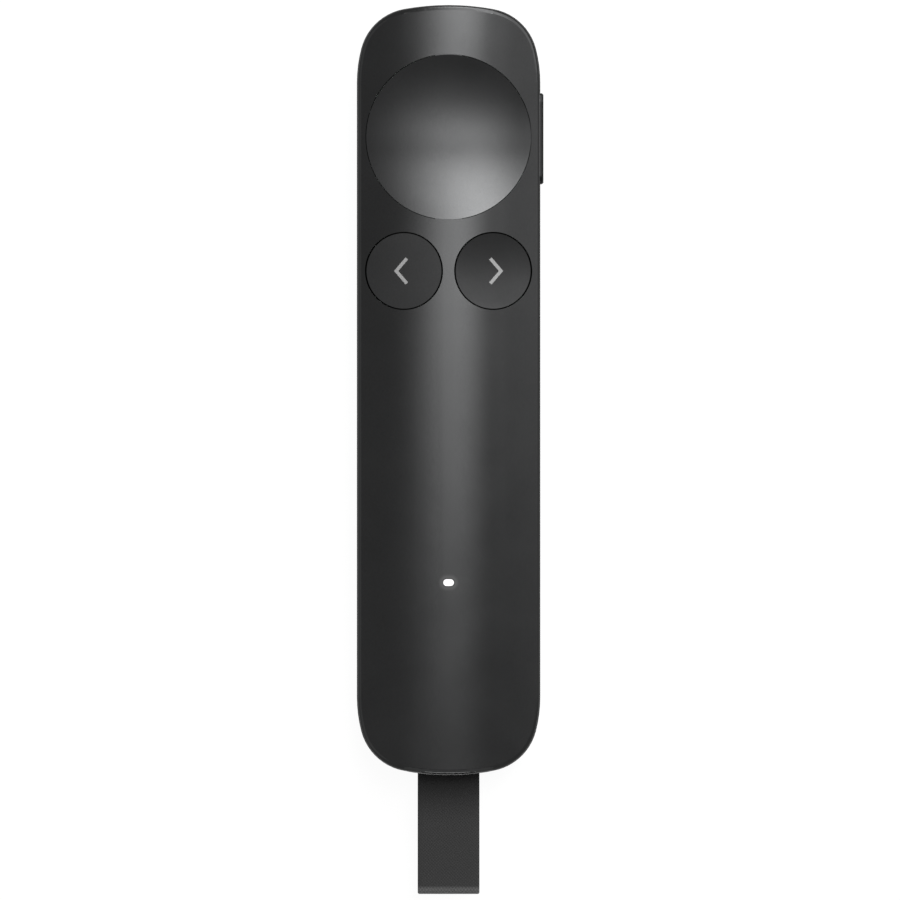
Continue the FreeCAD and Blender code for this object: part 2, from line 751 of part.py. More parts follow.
def build_charge_port():
    body = new_body("charge_port")
    section = sketch_on(body, "section", "XZ_Plane", "dock_rear")
    round_slot(section, "0", "receiver_height", "port_width", "port_height")
    pad(body, "blank", section, "port_length", Reversed=True)
    room = sketch_on(body, "room", "XZ_Plane", "dock_rear")
    round_slot(room, "0", "receiver_height", "port_width - 2 * port_wall", "port_height - 2 * port_wall")
    pocket(body, "room_cut", room, "port_length - port_back")
    finished(box("charge_port_tongue", centred("0", "port_tongue_width"),
                 ("-dock_rear + port_length - port_back - port_tongue_length", "port_tongue_length"),
                 centred("receiver_height", "port_tongue_height")), "charge_port_tongue")


def build_screws():
    screws = []
    top = "floor_wall + screw_recess"
    for name, sign, y in (("head_left", "-", "screw_head_side"), ("head_right", "", "screw_head_side"),
                          ("tail_left", "-", "-screw_tail_side"), ("tail_right", "", "-screw_tail_side")):
        x = f"{sign}screw_across / 2"
        shank = cylinder(f"{name}_shank", x, y, top, "screw_radius", "screw_length")
        cap = cylinder(f"{name}_head", x, y, f"{top} - screw_head_rise", "screw_head_radius",
                       "screw_head_rise")
        screws.append(joined(f"{name}_screw", [shank, cap]))
    finished(joined("frame_screws", screws, "Part::Compound"), "frame_screws")


# Keys and their switches

def build_switch(key, x, y):
    base = box(f"{key}_switch_base", centred(x, "switch_size"), centred(y, "switch_size"),
               ("board_height", "switch_rise"))
    bore = cylinder(f"{key}_switch_bore", x, y, "board_height + switch_rise - switch_bore_depth",
                    "switch_bore", "switch_bore_depth + cut_over")
    finished(cut(f"{key}_switch", base, bore), f"{key}_switch")
    low = "board_height + plunger_sunk"
    finished(cylinder(f"{key}_plunger", x, y, low, "plunger_radius", f"plunger_top - ({low})"),
             f"{key}_plunger")


def scoop_profile(sketch, middle, bottom, radius, side_run, top):
    """Draw the region above a hollow arc, up to a straight top."""
    x, z, turn = worth(middle), worth(bottom), worth(radius)
    half, high = worth(side_run), worth(top)
    side = math.asin(half / turn)
    rim = z + turn - turn * math.cos(side)
    down = -math.pi / 2
    edges = [arc(sketch, x, z + turn, turn, down - side, down + side)]
    edges.append(line(sketch, x + half, rim, x + half, high))
    edges.append(line(sketch, x + half, high, x - half, high))
    edges.append(line(sketch, x - half, high, x - half, rim))
    for index in range(4):
        sketch.addConstraint(Sketcher.Constraint("Coincident", edges[index], 2, edges[(index + 1) % 4], 1))
    for index in (1, 3):
        sketch.addConstraint(Sketcher.Constraint("Vertical", edges[index]))
    dimension(sketch, "Radius", (edges[0],), radius)
    place(sketch, edges[0], 3, middle, f"{bottom} + {radius}")
    place(sketch, edges[2], 1, f"{middle} + {side_run}", top)
    place(sketch, edges[2], 2, f"{middle} - ({side_run})", top)


def crown_at(x):
    """Give the height of the crowned top at a distance from the middle."""
    return f"(body_depth - crown_radius + sqrt(crown_radius^2 - ({x})^2))"


def round_key(body, x, y, radius, under):
    plan = sketch_on(body, "plan", "XY_Plane", under)
    circle(plan, x, y, f"{radius} - key_gap")
    pad(body, "blank", plan, f"body_depth + cut_over - ({under})")


def add_ears_and_stem(body, x, y, radius, under, far_side):
    """Add the pair of ears that keep a key in its hole, and the stem that meets its switch."""
    ear_top = f"{crown_at(far_side)} - wall - ear_drop"
    ears = sketch_on(body, "ear_plan", "XY_Plane", f"{ear_top} - ear_thickness")
    rectangle(ears, f"{x} - ear_width / 2", f"{x} + ear_width / 2",
              f"{y} - {radius} - ear_reach", f"{y} - {radius} + ear_root")
    rectangle(ears, f"{x} - ear_width / 2", f"{x} + ear_width / 2",
              f"{y} + {radius} - ear_root", f"{y} + {radius} + ear_reach")
    pad(body, "ears", ears, "ear_thickness")
    stem = sketch_on(body, "stem_plan", "XY_Plane", "plunger_top")
    circle(stem, x, y, "stem_radius")
    pad(body, "stem", stem, f"{under} - plunger_top")


def build_pointer_dish():
    body = new_body("pointer_dish")
    round_key(body, "0", "dish_y", "dish_radius", "dish_under")
    along = "(dish_radius^2 + dish_depth^2) / (2 * dish_depth)"
    rise = "(dish_depth - crown_radius + sqrt(crown_radius^2 - dish_radius^2))"
    across = f"(dish_radius^2 + {rise}^2) / (2 * {rise})"
    scoop = sketch_on(body, "scoop", "YZ_Plane")
    bottom = "body_depth - dish_depth"
    scoop_profile(scoop, "dish_y", bottom, along, "dish_radius + cut_over", "body_depth + scoop_rise")
    axis_z = worth(f"{bottom} + {across}")
    axis = scoop.addGeometry(Part.LineSegment(FreeCAD.Vector(0, axis_z, 0),
                                              FreeCAD.Vector(worth("body_length / 2"), axis_z, 0)), True)
    scoop.addConstraint(Sketcher.Constraint("Horizontal", axis))
    dimension(scoop, "DistanceY", (-1, 1, axis, 1), f"{bottom} + {across}")
    dimension(scoop, "DistanceX", (-1, 1, axis, 1), "0")
    dimension(scoop, "DistanceX", (-1, 1, axis, 2), "body_length / 2")
    document.recompute()
    groove = body.newObject("PartDesign::Groove", "pointer_dish_scoop_cut")
    groove.Profile = scoop
    groove.ReferenceAxis = (scoop, ["Axis0"])
    groove.Angle = 180
    groove.Midplane = True
    document.recompute()
    add_ears_and_stem(body, "0", "dish_y", "dish_radius", "dish_under", "ear_width / 2")
    build_switch("pointer", "0", "dish_y")


def build_button(label, sign, scooped):
    """Make a round key whose face leans with the crowned top, flat or hollowed by an arc."""
    body = new_body(f"{label}_button")
    x = f"{sign}button_spread / 2"
    round_key(body, x, "button_y", "button_radius", "button_under")
    inner = crown_at("button_spread / 2 - button_radius")
    outer = crown_at("button_spread / 2 + button_radius")
    lean = f"atan(({inner} - {outer}) / (2 * button_radius))"
    face = sketch_on(body, "face", "YZ_Plane")
    turn = FreeCAD.Rotation(FreeCAD.Vector(1, 0, 0), worth(lean))
    face.AttachmentOffset = FreeCAD.Placement(FreeCAD.Vector(0, 0, 0), turn)
    bind(face, AttachmentOffset__Rotation__Angle=f"{sign}{lean}")
    height = f"(button_spread / 2 * sin({lean}) + ({inner} + {outer}) / 2 * cos({lean}))"
    side = "button_radius + cut_over"
    if scooped:
        radius = "(button_radius^2 + next_scoop^2) / (2 * next_scoop)"
        scoop_profile(face, "button_y", f"{height} - next_scoop", radius, side, f"{height} + scoop_rise")
    else:
        rectangle(face, *reach("button_y", f"2 * ({side})"), height, f"{height} + scoop_rise")
    pocket(body, "face_cut", face, Midplane=True)
    add_ears_and_stem(body, x, "button_y", "button_radius", "button_under",
                      "button_spread / 2 + ear_width / 2")
    build_switch(label, x, "button_y")


def build_side_button():
    body = new_body("side_button")
    plan = sketch_on(body, "cap_shape", "YZ_Plane", "side_inner")
    round_slot(plan, "side_y", "side_z", "side_length", "side_height")
    pad(body, "cap", plan, "body_width / 2 - seam_step + side_proud - side_inner")
    outer = "body_width / 2 - seam_step + side_proud"
    dress(body, "Chamfer", "cap_edge", {"Size": "side_edge"},
          lambda edge: near(edge.BoundBox.XMin, outer) and near(edge.BoundBox.XMax, outer))
    flange = sketch_on(body, "flange_shape", "YZ_Plane", "side_inner")
    round_slot(flange, "side_y", "side_z", "side_length + 2 * side_flange_reach", "side_height")
    pad(body, "flange", flange, "side_flange")
    tip = "board_width / 2 - side_switch_inset + side_plunger_rise"
    stem = sketch_on(body, "stem_shape", "YZ_Plane", tip)
    circle(stem, "side_y", "side_z", "side_stem_radius")
    pad(body, "stem", stem, f"side_inner - ({tip})")
    face = "board_width / 2 - side_switch_inset"
    base = box("side_switch_base", (f"{face} - side_switch_depth", "side_switch_depth"),
               centred("side_y", "switch_size"), ("board_height", "side_switch_rise"))
    start = f"{face} - side_switch_depth / 2"
    bore = cylinder("side_switch_bore", start, "side_y", "side_z", "side_plunger_radius + fit_gap",
                    "side_switch_depth", ALONG_X)
    finished(cut("side_switch", base, bore), "side_switch")
    start = f"{face} - side_switch_depth / 2 + side_plunger_rise"
    finished(cylinder("side_plunger", start, "side_y", "side_z", "side_plunger_radius",
                      f"{tip} - ({start})", ALONG_X), "side_plunger")


def build_light_pipe():
    body = new_body("light_pipe")
    low = "board_height + led_rise + seat_gap"
    plan = sketch_on(body, "plan", "XY_Plane", low)
    round_slot(plan, "0", "light_y", "light_length", "light_width")
    pad(body, "column", plan, f"body_depth - ({low})")
    flange = sketch_on(body, "flange_plan", "XY_Plane", "body_depth - wall - seat_gap - light_flange")
    round_slot(flange, "0", "light_y", "light_length + 2 * light_flange_reach",
               "light_width + 2 * light_flange_reach")
    pad(body, "flange", flange, "light_flange")


# Receiver with its webbing tab

def build_receiver_cap():
    body = new_body("receiver_cap")
    section = sketch_on(body, "section", "XZ_Plane", "cap_end - cap_length")
    rounded_rectangle(section, "-cap_width / 2", "cap_width / 2", "receiver_height - cap_height / 2",
                      "receiver_height + cap_height / 2", "cap_corner")
    pad(body, "blank", section, "cap_length")
    bow = sketch_on(body, "bow", "XY_Plane")
    radius = worth("end_radius - cap_recess")
    middle = -worth("body_length / 2 - end_radius")
    half, far = worth("cap_width"), -worth("body_length / 2 + cut_over")
    side = math.asin(half / radius)
    rim = middle - radius * math.cos(side)
    edges = [arc(bow, 0, middle, radius, -math.pi / 2 - side, -math.pi / 2 + side)]
    edges.append(line(bow, half, rim, half, far - half))
    edges.append(line(bow, half, far - half, -half, far - half))
    edges.append(line(bow, -half, far - half, -half, rim))
    for index in range(4):
        bow.addConstraint(Sketcher.Constraint("Coincident", edges[index], 2, edges[(index + 1) % 4], 1))
    for index in (1, 3):
        bow.addConstraint(Sketcher.Constraint("Vertical", edges[index]))
    dimension(bow, "Radius", (edges[0],), "end_radius - cap_recess")
    place(bow, edges[0], 3, "0", "end_radius - body_length / 2")
    place(bow, edges[2], 1, "cap_width", "-body_length / 2 - cut_over - cap_width")
    place(bow, edges[2], 2, "-cap_width", "-body_length / 2 - cut_over - cap_width")
    pocket(body, "bow_cut", bow, Midplane=True)
    dress(body, "Chamfer", "bow_edge", {"Size": "cap_edge"},
          lambda edge: edge.BoundBox.YMax < -worth("cap_end - cap_corner"))
    slot = sketch_on(body, "strap_slot", "XZ_Plane", "body_length / 2 + cut_over")
    side = "strap_width / 2 + strap_gap"
    rise = "strap_eye + strap_thickness + strap_gap"
    rectangle(slot, f"-({side})", side, f"receiver_height - ({rise})", f"receiver_height + {rise}")
    pocket(body, "strap_slot_cut", slot, f"cut_over + cap_recess + pin_from_end + {rise}")
    bore = sketch_on(body, "pin_bore", "YZ_Plane")
    circle(bore, "-pin_y", "receiver_height", "pin_radius + seat_gap")
    pocket(body, "pin_bore_cut", bore, "strap_width + 2 * strap_gap + 2 * pin_grip", Midplane=True)
    span = "strap_width + 2 * strap_gap + 2 * pin_grip"
    finished(cylinder("strap_pin", f"-({span}) / 2", "-pin_y", "receiver_height", "pin_radius",
                      span, ALONG_X), "strap_pin")


def build_receiver_plug():
    back = "-(cap_end - cap_length)"
    outside = box("plug_outside", centred("0", "plug_width"), (back, "plug_length"),
                  centred("receiver_height", "plug_height"))
    inside = box("plug_inside", centred("0", "plug_width - 2 * plug_wall"),
                 (f"{back} - cut_over", "plug_length + 2 * cut_over"),
                 centred("receiver_height", "plug_height - 2 * plug_wall"))
    windows = [box(f"plug_window_{side}", centred(f"{sign}plug_window_spread / 2", "plug_window"),
                   centred(f"{back} + plug_window_from_cap", "plug_window"),
                   centred("receiver_height", "plug_height + 2 * cut_over"))
               for side, sign in (("left", "-"), ("right", ""))]
    shell = cut("plug_tube", outside, inside)
    finished(cut("receiver_plug", shell, joined("plug_windows", windows)), "receiver_plug")
    low = "receiver_height - plug_height / 2 + plug_wall"
    finished(box("receiver_tongue", centred("0", "plug_width - 2 * plug_wall"),
                 (back, "plug_length - fit_gap"), (low, "tongue_height")), "receiver_tongue")
    first = f"-({CONTACT_COUNT} - 1) / 2 * contact_pitch"
    contacts = [box(f"contact_{number}", centred(f"{first} + {number} * contact_pitch", "contact_width"),
                    (f"{back} + plug_length - fit_gap - 2 * contact_thickness - contact_length",
                     "contact_length"),
                    (f"{low} + tongue_height", "contact_thickness")) for number in range(CONTACT_COUNT)]
    finished(joined("receiver_contacts", contacts, "Part::Compound"), "receiver_contacts")


def build_pull_tab():
    body = new_body("pull_tab")
    loop = sketch_on(body, "loop", "YZ_Plane")
    turn = "(strap_eye + strap_thickness)"
    far = "(body_length / 2 + strap_reach)"
    middle = f"-(pin_y - {turn} + {far}) / 2"
    span = f"({far} - pin_y + {turn})"
    round_slot(loop, middle, "receiver_height", span, f"2 * {turn}")
    round_slot(loop, middle, "receiver_height", f"{span} - 2 * strap_thickness", "2 * strap_eye")
    pad(body, "webbing", loop, "strap_width", Midplane=True)


def check_model():
    """Stop if any object failed or any sub-part has no sound shape."""
    document.recompute()
    for thing in document.Objects:
        if "Invalid" in thing.State or "Error" in thing.State:
            raise ValueError(f"{thing.Name} did not build: {thing.State}")
    for thing in subparts:
        if thing.Shape.isNull() or not thing.Shape.isValid():
            raise ValueError(f"{thing.Label} has no sound shape")


fill_sheet()
build_bottom_cover()
build_top_cover()
build_receiver_dock()
build_inner_frame()
build_circuit_board()
build_battery()
build_chips()
build_charge_port()
build_screws()
build_pointer_dish()
build_button("back", "-", scooped=False)
build_button("next", "", scooped=True)
build_side_button()
build_light_pipe()
build_receiver_cap()
build_receiver_plug()
build_pull_tab()
check_model()
os.makedirs("parts", exist_ok=True)
for thing in subparts:
    thing.Shape.exportStep(f"parts/{thing.Label}.step")
    print(thing.Label, len(thing.Shape.Solids), round(thing.Shape.Volume, 2))
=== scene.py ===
# Looks of a wireless presentation clicker that lies on its back, head towards +Y.
# Lengths are in metres, worked out from millimetres by MM. Grey levels are linear.
import math

import bmesh
import bpy
from mathutils import Matrix, Vector
from mathutils.bvhtree import BVHTree


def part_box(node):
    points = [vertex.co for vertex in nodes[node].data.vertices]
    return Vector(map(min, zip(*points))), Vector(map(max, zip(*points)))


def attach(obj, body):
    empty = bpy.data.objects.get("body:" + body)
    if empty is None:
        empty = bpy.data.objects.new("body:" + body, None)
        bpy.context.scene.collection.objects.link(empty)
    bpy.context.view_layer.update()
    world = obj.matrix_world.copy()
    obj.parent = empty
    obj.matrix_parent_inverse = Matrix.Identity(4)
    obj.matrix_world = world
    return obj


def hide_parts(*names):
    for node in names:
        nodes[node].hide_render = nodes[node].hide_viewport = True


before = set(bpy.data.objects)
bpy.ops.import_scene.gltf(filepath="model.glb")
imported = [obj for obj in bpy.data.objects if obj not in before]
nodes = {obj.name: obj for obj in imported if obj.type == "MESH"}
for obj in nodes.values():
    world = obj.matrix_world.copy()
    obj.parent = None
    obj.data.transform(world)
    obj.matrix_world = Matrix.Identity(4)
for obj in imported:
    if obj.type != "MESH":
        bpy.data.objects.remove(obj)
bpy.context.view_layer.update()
MM = 0.001


def grey(value, warm=0.0):
    return (value * (1 + warm), value, value * (1 - warm), 1.0)


# Node helpers

NOISE_LOW, NOISE_HIGH = 0.3, 0.7    # most of a noise lies between these
COLOUR_INPUTS = (6, 7)              # of a mix node that mixes colours
COLOUR_RESULT = 2
BEVEL_SAMPLES = 8


class Nodes:
    """A node tree, with short calls that add nodes to it."""

    def __init__(self, tree):
        self.tree = tree

    def node(self, kind, inputs=(), **settings):
        """Add a node. Inputs are links or values, by the name or number of their sockets."""
        made = self.tree.nodes.new(kind)
        for setting, value in settings.items():
            setattr(made, setting, value)
        for socket, value in dict(inputs).items():
            if isinstance(value, bpy.types.NodeSocket):
                self.tree.links.new(value, made.inputs[socket])
            else:
                made.inputs[socket].default_value = value
        return made

    def math(self, operation, *values):
        made = self.node("ShaderNodeMath", dict(enumerate(values)), operation=operation)
        return made.outputs[0]

    def vector(self, operation, *values):
        made = self.node("ShaderNodeVectorMath", dict(enumerate(values)), operation=operation)
        return made.outputs

    def parts(self, vector):
        """The X, Y and Z of a vector."""
        return self.node("ShaderNodeSeparateXYZ", {0: vector}).outputs

    def product(self, first, *others):
        for other in others:
            first = self.math("MULTIPLY", first, other)
        return first

    def span(self, value, low, high, to_low, to_high, smooth=False):
        """Carry a value from one range to another, held at its ends."""
        inputs = {"Value": value, "From Min": low, "From Max": high,
                  "To Min": to_low, "To Max": to_high}
        kind = "SMOOTHSTEP" if smooth else "LINEAR"
        return self.node("ShaderNodeMapRange", inputs, interpolation_type=kind).outputs["Result"]

    def seen_ray(self):
        """One for rays that show the background: straight, mirrored or through glass."""
        path = self.node("ShaderNodeLightPath").outputs
        seen = self.math("MAXIMUM", path["Is Camera Ray"], path["Is Glossy Ray"])
        return self.math("MAXIMUM", seen, path["Is Transmission Ray"])


class Shading(Nodes):
    """A material with its shader."""

    def __init__(self, name, **sockets):
        self.material = bpy.data.materials.new(name)
        self.material.use_nodes = True
        super().__init__(self.material.node_tree)
        self.shader = self.tree.nodes["Principled BSDF"]
        for socket, value in sockets.items():
            self.shader.inputs[socket.replace("_", " ")].default_value = value
        self.place = None

    def set(self, socket, source):
        self.tree.links.new(source, self.shader.inputs[socket])

    def position(self):
        """Place in the frame: a node's object sits at the origin."""
        if self.place is None:
            self.place = self.node("ShaderNodeTexCoord").outputs["Object"]
        return self.place

    def noise(self, grain, detail=2.0, stretch=None):
        """Noise whose grains are about as large as the given length."""
        where = self.position()
        if stretch:
            where = self.vector("MULTIPLY", where, stretch)[0]
        inputs = {"Vector": where, "Scale": 1 / grain, "Detail": detail}
        return self.node("ShaderNodeTexNoise", inputs).outputs["Fac"]

    def drift(self, noise, low, high):
        """Carry a noise to a range."""
        return self.span(noise, NOISE_LOW, NOISE_HIGH, low, high)

    def blend(self, share, first, second):
        """Colour between two colours, by a share."""
        inputs = {"Factor": share, COLOUR_INPUTS[0]: first, COLOUR_INPUTS[1]: second}
        return self.node("ShaderNodeMix", inputs, data_type="RGBA").outputs[COLOUR_RESULT]

    def colour(self, share, low, high):
        self.set("Base Color", self.blend(share, low, high))

    def shift(self, share, level):
        """Bring the base colour to a grey level by a share."""
        old = self.shader.inputs["Base Color"].links[0].from_socket
        self.set("Base Color", self.blend(share, old, grey(level)))

    def emit(self, strength):
        self.shader.inputs["Emission Color"].default_value = grey(1.0)
        self.set("Emission Strength", strength)

    def bump(self, height, depth, strength=1.0, under=None):
        """Fine relief, over a broader one where that is given."""
        inputs = {"Height": height, "Distance": depth, "Strength": strength}
        if under:
            inputs["Normal"] = under
        self.set("Normal", self.node("ShaderNodeBump", inputs).outputs["Normal"])

    def rounded(self, radius):
        """Edges rounded off in the shading."""
        bevel = self.node("ShaderNodeBevel", {"Radius": radius}, samples=BEVEL_SAMPLES)
        return bevel.outputs["Normal"]

    def leaning(self, axis, middle, slope, curve):
        """A face that leans and bows a little along or across the body, in the shading alone."""
        away = self.math("SUBTRACT", self.parts(self.position())[axis], middle)
        height = self.product(away, self.math("MULTIPLY_ADD", away, curve, slope))
        inputs = {"Height": self.product(height, 1 / MM), "Distance": MM}
        return self.node("ShaderNodeBump", inputs).outputs["Normal"]

    def round_ring(self, centre, inner, outer):
        """One in a ring round a key's axis, and nothing inside and outside it."""
        away = self.vector("SUBTRACT", self.position(), (*centre, 0))[0]
        flat = self.vector("MULTIPLY", away, (1 / math.cos(KEY_LEAN), 1, 0))[0]
        reach = self.vector("LENGTH", flat)["Value"]
        return self.product(self.span(reach, inner - RING_BLUR, inner + RING_BLUR, 0.0, 1.0),
                            self.span(reach, outer - RING_BLUR, outer + RING_BLUR, 1.0, 0.0))

    def from_slot(self, centre, half_length, half_width):
        """Distance from the middle line of a slot with round ends, long across the body."""
        away = self.parts(self.vector("SUBTRACT", self.position(), centre)[0])
        past = self.math("SUBTRACT", self.math("ABSOLUTE", away["X"]), half_length - half_width)
        past = self.math("MAXIMUM", past, 0.0)
        square = self.math("ADD", self.product(past, past), self.product(away["Y"], away["Y"]))
        return self.math("SQRT", square)


# Finishes

GRAPHITE = 0.022
GRAPHITE_SPREAD = 0.16
GRAPHITE_COOL = -0.01
GRAZING = (0.6, 0.92)               # Facing at which the metal's gloss starts to go and is gone
BEAD_GRAIN, CLOUD_GRAIN = 0.16 * MM, 7 * MM
BEAD_SHARE, CLOUD_SHARE = 0.75, 0.25
BEAD_DEPTH, BEAD_STRENGTH = 0.004 * MM, 0.35

KEY_CENTRES = {"back_button": (-7.575 * MM, 20.2 * MM), "next_button": (7.575 * MM, 20.2 * MM)}
KEY_RADIUS = 6.52 * MM
KEY_LEAN = math.radians(7.3)
# The rings and lines below are painted shade: in the gaps round the keys, round the window of the
# status light and on the seam's ledge
WELL_GAP = 0.1 * MM
SHADE_RING_WIDTH = 0.11 * MM
RING_BLUR = 0.03 * MM
PAINTED_SHADE_GREY = 0.0005

# Middle, lean and bow of the keys' faces, which the shading adds to their solids
DISH_SHAPE = (42.95 * MM, 0.008, 0.25)
NEXT_SHAPE = (20.2 * MM, 0.014, -3.0)
BACK_SHAPE = (-7.575 * MM, -0.015, -1.28)
SIDE_ROUNDING = 0.9 * MM

LIGHT_FLANGE = 0.9 * MM
LIGHT_SEAM = (0.1 * MM, 0.18 * MM)  # painted shade of the seam round the window ends between these
SEAM_SHARE = 0.5
LIGHT_HALO = (0.3 * MM, 1.0 * MM)   # the painted glow on the cover fades between these
PAINTED_GLOW_STRENGTH = 0.036

# Seam of the bottom cover: a lighter chamfer, partly the cut edge's own colour and partly painted
# highlight, then painted shade on the ledge above it
RIM_Z, RIM_BLUR, RIM_EDGE_AND_HIGHLIGHT = 3.9 * MM, 0.02 * MM, 0.045
LEDGE_Z, LEDGE_BLUR = 3.985 * MM, 0.01 * MM


def graphite(name, level=GRAPHITE, roughness=0.1, shape=None):
    """Dark anodised metal, blasted with fine beads."""
    shades = Shading(name, Specular_Tint=grey(0.8), Specular_IOR_Level=0.0)
    facing = shades.node("ShaderNodeLayerWeight").outputs["Facing"]
    shades.set("Metallic", shades.span(facing, *GRAZING, 1.0, 0.0, smooth=True))
    beads = shades.noise(BEAD_GRAIN, 3.0)
    clouds = shades.noise(CLOUD_GRAIN, 3.0)
    share = shades.math("ADD", shades.product(beads, BEAD_SHARE),
                        shades.product(clouds, CLOUD_SHARE))
    shades.colour(shades.drift(share, 0.0, 1.0), grey(level * (1 - GRAPHITE_SPREAD), GRAPHITE_COOL),
                  grey(level * (1 + GRAPHITE_SPREAD), GRAPHITE_COOL))
    shades.set("Roughness", shades.drift(clouds, roughness - 0.01, roughness + 0.01))
    shades.bump(beads, BEAD_DEPTH, BEAD_STRENGTH, shape(shades) if shape else None)
    return shades


def shell_finish(light_low, light_high):
    """Graphite of the top cover, with painted shade in the rims of the wells and round the window
    of the status light, and a painted glow round that light.
    """
    shades = graphite("shell_finish")
    for centre in KEY_CENTRES.values():
        # painted shade in the gap round each key's well
        ring = shades.round_ring(centre, KEY_RADIUS - WELL_GAP, KEY_RADIUS + SHADE_RING_WIDTH)
        shades.shift(ring, PAINTED_SHADE_GREY)
    half = (light_high - light_low) / 2
    edge = half.y - LIGHT_FLANGE
    reach = shades.from_slot((light_low + light_high) / 2, half.x - LIGHT_FLANGE, edge)
    seam = (edge + LIGHT_SEAM[0], edge + LIGHT_SEAM[1])
    # painted shade on the seam round the window
    shades.shift(shades.span(reach, *seam, SEAM_SHARE, 0.0), PAINTED_SHADE_GREY)
    # painted glow: the cover itself emits light round the window
    painted_glow = shades.span(reach, edge + LIGHT_HALO[0], edge + LIGHT_HALO[1], 1.0, 0.0, smooth=True)
    shades.emit(shades.product(shades.span(reach, *seam, 0.0, 1.0), painted_glow, PAINTED_GLOW_STRENGTH))
    return shades.material


def key_finish(key, shape):
    """Graphite of a round key, with painted shade at the foot of its rim."""
    shades = graphite(f"{key}_finish", shape=shape)
    # painted shade at the foot of the key's rim, where it meets the well
    ring = shades.round_ring(KEY_CENTRES[key], KEY_RADIUS - SHADE_RING_WIDTH, 2 * KEY_RADIUS)
    shades.shift(ring, PAINTED_SHADE_GREY)
    return shades.material


def dish_finish():
    """Graphite of the dished key."""
    return graphite("dish_finish", shape=lambda shades: shades.leaning("Y", *DISH_SHAPE)).material


def side_finish():
    """Darker graphite of the side key, whose edge is rounded off."""
    return graphite("side_finish", GRAPHITE * 0.5,
                    shape=lambda shades: shades.rounded(SIDE_ROUNDING)).material


def base_finish():
    """Graphite of the bottom cover: a lighter cut edge at the seam, partly its own colour and
    partly a painted highlight, and painted shade on the ledge in it.
    """
    shades = graphite("base_finish", GRAPHITE * 1.1, 0.25)
    height = shades.parts(shades.position())["Z"]
    # lighter chamfer: partly the cut edge's own colour, partly a painted highlight
    shades.shift(shades.span(height, RIM_Z, RIM_Z + RIM_BLUR, 0.0, 1.0), RIM_EDGE_AND_HIGHLIGHT)
    # painted shade on the ledge inside the seam
    shades.shift(shades.span(height, LEDGE_Z, LEDGE_Z + LEDGE_BLUR, 0.0, 1.0), PAINTED_SHADE_GREY)
    return shades.material


def plastic(name, colour, roughness=0.45, grain=0.3 * MM, spread=0.12, depth=0.006 * MM):
    """Moulded plastic with a fine spark-eroded skin."""
    shades = Shading(name)
    fine = shades.noise(grain, 3.0)
    low = tuple(part * (1 - spread) for part in colour[:3]) + (1.0,)
    high = tuple(min(1.0, part * (1 + spread)) for part in colour[:3]) + (1.0,)
    shades.colour(shades.drift(fine, 0.0, 1.0), low, high)
    shades.set("Roughness", shades.drift(shades.noise(4 * MM), roughness - 0.05, roughness + 0.05))
    shades.bump(fine, depth, 0.5)
    return shades.material


def metal(name, colour, roughness=0.3, stretch=(1, 14, 1)):
    """Bright metal with drawing marks along one axis."""
    shades = Shading(name, Metallic=1.0)
    marks = shades.noise(0.9 * MM, 4.0, stretch)
    low = tuple(part * 0.86 for part in colour[:3]) + (1.0,)
    shades.colour(shades.drift(marks, 0.0, 1.0), low, colour)
    shades.set("Roughness", shades.drift(marks, roughness - 0.07, roughness + 0.07))
    shades.bump(marks, 0.003 * MM, 0.4)
    return shades.material


def board_finish():
    """Solder mask with faint copper runs under it."""
    shades = Shading("board_finish", Roughness=0.35)
    inputs = {"Vector": shades.position(), "Scale": 260.0, "Mortar Size": 0.03}
    runs = shades.node("ShaderNodeTexBrick", inputs).outputs["Fac"]
    shades.colour(runs, (0.012, 0.05, 0.028, 1.0), (0.03, 0.11, 0.06, 1.0))
    shades.bump(runs, 0.02 * MM)
    return shades.material


def light_finish():
    """Window of the status light, frosted and lit from below."""
    shades = Shading("light_finish", Roughness=0.4)
    fine = shades.noise(0.2 * MM)
    shades.colour(fine, grey(0.26), grey(0.3))
    shades.emit(shades.drift(fine, 0.48, 0.54))
    return shades.material


def sign_finish():
    """Pad-printed grey of the two signs."""
    shades = Shading("sign_finish", Roughness=0.55)
    fine = shades.noise(0.12 * MM, 3.0)
    shades.colour(shades.drift(fine, 0.0, 1.0), grey(0.11), grey(0.13))
    shades.bump(fine, 0.002 * MM, 0.4)
    return shades.material


STRAP_MOUTH, STRAP_FOLD = -65.5 * MM, -85.75 * MM
# Painted shade where the band leaves the cap's mouth: over this length, down to this share of its
# colour
MOUTH_SHADE, MOUTH_SHADE_LEVEL = 9 * MM, 0.12
# Painted highlight across the fold: the band of places, and how much lighter it is
FOLD_BAND, FOLD_HIGHLIGHT = (0.7 * MM, 1.5 * MM), 4.5
WEAVE_SHARE, FUZZ_SHARE = 0.6, 0.4
YARN = (grey(0.006), grey(0.0165))


